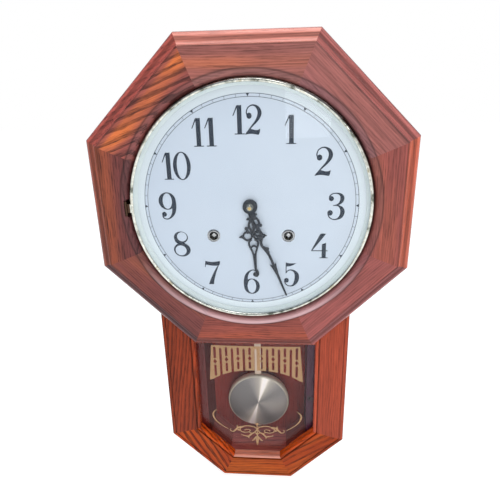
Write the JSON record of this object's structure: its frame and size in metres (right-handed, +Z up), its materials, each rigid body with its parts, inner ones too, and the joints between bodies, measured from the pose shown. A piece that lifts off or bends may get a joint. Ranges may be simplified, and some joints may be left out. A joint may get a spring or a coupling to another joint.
{
  "type": "wall clock",
  "caption": "Octagonal-headed wall clock with a glazed drop door, round hinged dial bezel, visible pendulum and key-wound going and striking trains.",
  "frame": {"origin": "on the wall plane (the flat back), straight behind the centre of the dial", "axes": "+X to the right seen from the front, +Y into the wall, +Z up; the dial faces -Y"},
  "size_m": [0.419, 0.125, 0.6836],
  "materials": {
    "case_wood": "satin stained open-grain wood",
    "head_wood": "satin stained open-grain wood, polished mouldings",
    "door_wood": "satin stained open-grain wood",
    "back_wood": "dark stained, matt",
    "backing_wood": "plain, matt",
    "glass": "clear",
    "bezel_metal": "polished",
    "sight_paint": "pale satin",
    "dial_white": "satin enamel",
    "sheet_steel": "plain",
    "black_steel": "black lacquer",
    "brass": "lacquered",
    "steel": "plain",
    "bob_metal": "brushed, bright rim",
    "gong_metal": "dark",
    "brown_brass": "dull"
  },
  "bodies": {
    "case": {"back_board": "back_wood", "case_side_left": "case_wood", "case_side_right": "case_wood", "case_corner_boards": "case_wood", "case_end_boards": "case_wood", "head_backing_board": "backing_wood", "head_stave_top": "head_wood", "head_stave_top_right": "head_wood", "head_stave_right": "head_wood", "head_stave_bottom_right": "head_wood", "head_stave_bottom": "head_wood", "head_stave_bottom_left": "head_wood", "head_stave_left": "head_wood", "head_stave_top_left": "head_wood", "hanger_plate": "sheet_steel", "door_hinge_case_leaves": "brown_brass", "door_catch_magnet": "steel", "dial_pan": "sheet_steel", "dial_plate": "dial_white", "dial_grommets": "bezel_metal", "bezel_hinge": "bezel_metal", "movement_front_plate": "brass", "movement_back_plate": "brass", "movement_pillars": "steel", "winding_clicks": "steel", "gong": "gong_metal", "pendulum_cock": "brass"},
    "door": {"door_stile_left": "door_wood", "door_stile_right": "door_wood", "door_corner_pieces": "door_wood", "door_bottom_rail": "door_wood", "door_top_rail": "door_wood", "door_glass": "glass", "door_hinge_door_leaves": "brown_brass", "door_catch_strike": "sheet_steel"},
    "bezel": {"bezel_ring": "bezel_metal", "sight_ring": "sight_paint", "bezel_glass": "glass"},
    "minute": {"centre_wheel": "brass", "minute_hand": "black_steel", "hand_nut": "brass"},
    "hour": {"hour_wheel": "brass", "hour_hand": "black_steel"},
    "motion_wheel": {"minute_wheel": "brass"},
    "second": {"second_wheel": "brass"},
    "time_drum": {"time_barrel": "brass"},
    "third": {"third_wheel": "brass"},
    "escape": {"escape_wheel": "brass"},
    "time_key_arbor": {"time_winding_arbor": "steel"},
    "strike_key_arbor": {"strike_winding_arbor": "steel"},
    "strike_drum": {"strike_barrel": "brass"},
    "strike_second": {"strike_second_wheel": "brass"},
    "strike_pins": {"strike_pin_wheel": "brass"},
    "strike_warning": {"strike_warning_wheel": "brass"},
    "fly": {"strike_fly": "brass"},
    "hammer": {"strike_hammer": "steel"},
    "pendulum": {"anchor_and_crutch": "steel", "suspension_spring": "steel", "pendulum_rod": "brown_brass", "pendulum_bob_and_nut": "bob_metal"}
  },
  "joints": [
    {"name": "minute_turn", "type": "hinge", "parent": "case", "child": "minute", "pos_m": [0, -0.064, 0], "axis": [0, 1, 0], "continuous": true},
    {"name": "hour_turn", "type": "hinge", "parent": "case", "child": "hour", "pos_m": [0, -0.1, 0], "axis": [0, 1, 0], "continuous": true},
    {"name": "motion_wheel_turn", "type": "hinge", "parent": "case", "child": "motion_wheel", "pos_m": [0, -0.088, -0.0192], "axis": [0, 1, 0], "continuous": true},
    {"name": "second_wheel_turn", "type": "hinge", "parent": "case", "child": "second", "pos_m": [0.02911, -0.064, -0.01756], "axis": [0, 1, 0], "continuous": true},
    {"name": "time_barrel_turn", "type": "hinge", "parent": "case", "child": "time_drum", "pos_m": [0.05, -0.064, -0.041], "axis": [0, 1, 0], "continuous": true},
    {"name": "third_wheel_turn", "type": "hinge", "parent": "case", "child": "third", "pos_m": [0.01701, -0.064, 0.01701], "axis": [0, 1, 0], "continuous": true},
    {"name": "escape_wheel_turn", "type": "hinge", "parent": "case", "child": "escape", "pos_m": [0, -0.064, 0.02675], "axis": [0, 1, 0], "continuous": true},
    {"name": "time_winding_turn", "type": "hinge", "parent": "case", "child": "time_key_arbor", "pos_m": [0.05, -0.064, -0.041], "axis": [0, 1, 0], "continuous": true},
    {"name": "strike_winding_turn", "type": "hinge", "parent": "case", "child": "strike_key_arbor", "pos_m": [-0.05, -0.064, -0.041], "axis": [0, 1, 0], "continuous": true},
    {"name": "strike_pin_turn", "type": "hinge", "parent": "case", "child": "strike_pins", "pos_m": [-0.0374, -0.064, 0.01335], "axis": [0, 1, 0], "continuous": true},
    {"name": "strike_barrel_turn", "type": "hinge", "parent": "case", "child": "strike_drum", "pos_m": [-0.05, -0.064, -0.041], "axis": [0, 1, 0], "continuous": true},
    {"name": "strike_second_turn", "type": "hinge", "parent": "case", "child": "strike_second", "pos_m": [-0.02911, -0.064, -0.01756], "axis": [0, 1, 0], "continuous": true},
    {"name": "strike_warning_turn", "type": "hinge", "parent": "case", "child": "strike_warning", "pos_m": [-0.0239, -0.064, 0.02944], "axis": [0, 1, 0], "continuous": true},
    {"name": "strike_fly_turn", "type": "hinge", "parent": "case", "child": "fly", "pos_m": [-0.02872, -0.064, 0.04269], "axis": [0, 1, 0], "continuous": true},
    {"name": "hammer_lift", "type": "hinge", "parent": "case", "child": "hammer", "pos_m": [-0.062, -0.04, 0], "axis": [0, 1, 0], "range_deg": [0, 4]},
    {"name": "pendulum_swing", "type": "hinge", "parent": "case", "child": "pendulum", "pos_m": [0, -0.04, 0.045], "axis": [0, 1, 0], "range_deg": [-3.5, 3.5]},
    {"name": "door_hinge", "type": "hinge", "parent": "case", "child": "door", "pos_m": [-0.1014, -0.0722, -0.315], "axis": [0, 0, -1], "range_deg": [0, 90]},
    {"name": "bezel_hinge", "type": "hinge", "parent": "case", "child": "bezel", "pos_m": [-0.1622, -0.117, 0], "axis": [0, 0, -1], "range_deg": [0, 110]}
  ],
  "couplings": [
    {"joint": "hour_turn", "follows": "minute_turn", "ratio": 0.083333},
    {"joint": "motion_wheel_turn", "follows": "minute_turn", "ratio": -0.33333},
    {"joint": "second_wheel_turn", "follows": "minute_turn", "ratio": -0.21429},
    {"joint": "time_barrel_turn", "follows": "minute_turn", "ratio": 0.032143},
    {"joint": "third_wheel_turn", "follows": "minute_turn", "ratio": -8.25},
    {"joint": "escape_wheel_turn", "follows": "minute_turn", "ratio": 74.25},
    {"joint": "strike_second_turn", "follows": "strike_pin_turn", "ratio": -0.14286},
    {"joint": "strike_barrel_turn", "follows": "strike_pin_turn", "ratio": 0.021429},
    {"joint": "strike_warning_turn", "follows": "strike_pin_turn", "ratio": -6},
    {"joint": "strike_fly_turn", "follows": "strike_pin_turn", "ratio": 34.286}
  ]
}
